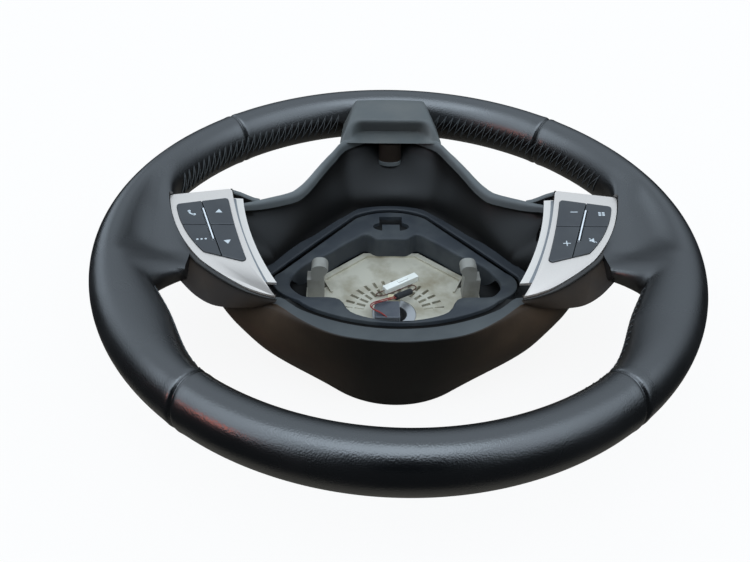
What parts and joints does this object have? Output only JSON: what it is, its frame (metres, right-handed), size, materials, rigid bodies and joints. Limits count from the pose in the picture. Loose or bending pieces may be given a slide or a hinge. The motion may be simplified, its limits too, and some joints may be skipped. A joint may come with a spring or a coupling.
{
  "type": "car steering wheel",
  "caption": "Leather-wrapped car steering wheel without its airbag, with an open hub bowl, switch clusters with sprung keys on the side spokes and a lower trim.",
  "frame": {"origin": "on the steering axis at the lower end of the hub bush's bore", "axes": "+Z along the steering axis towards the driver, +Y to twelve o'clock, +X to the driver's right"},
  "size_m": [0.376, 0.3758, 0.1064],
  "materials": {
    "grip_leather": "satin",
    "cast_armature": "matte",
    "bush_steel": "satin",
    "cover_plastic": "matte",
    "screw_steel": "satin",
    "tray_plastic": "matte",
    "trim_plastic": "matte",
    "plug_plastic": "matte",
    "connector_plastic": "matte",
    "latch_plastic": "matte",
    "sleeve_tape": "matte",
    "red_wire": "satin",
    "brown_wire": "satin",
    "bezel_silver": "satin",
    "housing_plastic": "matte",
    "board_green": "satin",
    "mat_rubber": "matte",
    "light_bar_silver": "satin",
    "skirt_plastic": "matte",
    "key_plastic": "matte"
  },
  "bodies": {
    "wheel": {"leather_grip": "grip_leather", "armature": "cast_armature", "hub_bush": "bush_steel", "rear_cover": "cover_plastic", "rear_cover_screws": "screw_steel", "inner_cover": "tray_plastic", "bottom_spoke_trim": "trim_plastic", "hub_plug": "plug_plastic", "lead_connector": "connector_plastic", "connector_latch": "latch_plastic", "lead_sleeve": "sleeve_tape", "red_lead": "red_wire", "brown_lead": "brown_wire", "left_bezel": "bezel_silver", "left_switch_housing": "housing_plastic", "left_switch_board": "board_green", "left_switch_mat": "mat_rubber", "left_light_bar": "light_bar_silver", "left_spoke_skirt": "skirt_plastic", "right_bezel": "bezel_silver", "right_switch_housing": "housing_plastic", "right_switch_board": "board_green", "right_switch_mat": "mat_rubber", "right_light_bar": "light_bar_silver", "right_spoke_skirt": "skirt_plastic"},
    "right_key_phone_body": {"right_key_phone": "key_plastic"},
    "right_key_source_body": {"right_key_source": "key_plastic"},
    "right_key_down_body": {"right_key_down": "key_plastic"},
    "right_key_up_body": {"right_key_up": "key_plastic"},
    "left_key_menu_body": {"left_key_menu": "key_plastic"},
    "left_key_mute_body": {"left_key_mute": "key_plastic"},
    "left_key_minus_body": {"left_key_minus": "key_plastic"},
    "left_key_plus_body": {"left_key_plus": "key_plastic"}
  },
  "joints": [
    {"name": "right_key_phone_press", "type": "slide", "parent": "wheel", "child": "right_key_phone_body", "axis": [0.0755, -0.0884, -0.9932], "range_m": [0, 0.001], "stiffness_N_per_m": 1500, "springref_m": -0.0005},
    {"name": "right_key_source_press", "type": "slide", "parent": "wheel", "child": "right_key_source_body", "axis": [0.0755, -0.0884, -0.9932], "range_m": [0, 0.001], "stiffness_N_per_m": 1500, "springref_m": -0.0005},
    {"name": "right_key_down_press", "type": "slide", "parent": "wheel", "child": "right_key_down_body", "axis": [0.0755, -0.0884, -0.9932], "range_m": [0, 0.001], "stiffness_N_per_m": 1500, "springref_m": -0.0005},
    {"name": "right_key_up_press", "type": "slide", "parent": "wheel", "child": "right_key_up_body", "axis": [0.0755, -0.0884, -0.9932], "range_m": [0, 0.001], "stiffness_N_per_m": 1500, "springref_m": -0.0005},
    {"name": "left_key_menu_press", "type": "slide", "parent": "wheel", "child": "left_key_menu_body", "axis": [-0.0755, -0.0884, -0.9932], "range_m": [0, 0.001], "stiffness_N_per_m": 1500, "springref_m": -0.0005},
    {"name": "left_key_mute_press", "type": "slide", "parent": "wheel", "child": "left_key_mute_body", "axis": [-0.0755, -0.0884, -0.9932], "range_m": [0, 0.001], "stiffness_N_per_m": 1500, "springref_m": -0.0005},
    {"name": "left_key_minus_press", "type": "slide", "parent": "wheel", "child": "left_key_minus_body", "axis": [-0.0755, -0.0884, -0.9932], "range_m": [0, 0.001], "stiffness_N_per_m": 1500, "springref_m": -0.0005},
    {"name": "left_key_plus_press", "type": "slide", "parent": "wheel", "child": "left_key_plus_body", "axis": [-0.0755, -0.0884, -0.9932], "range_m": [0, 0.001], "stiffness_N_per_m": 1500, "springref_m": -0.0005}
  ]
}
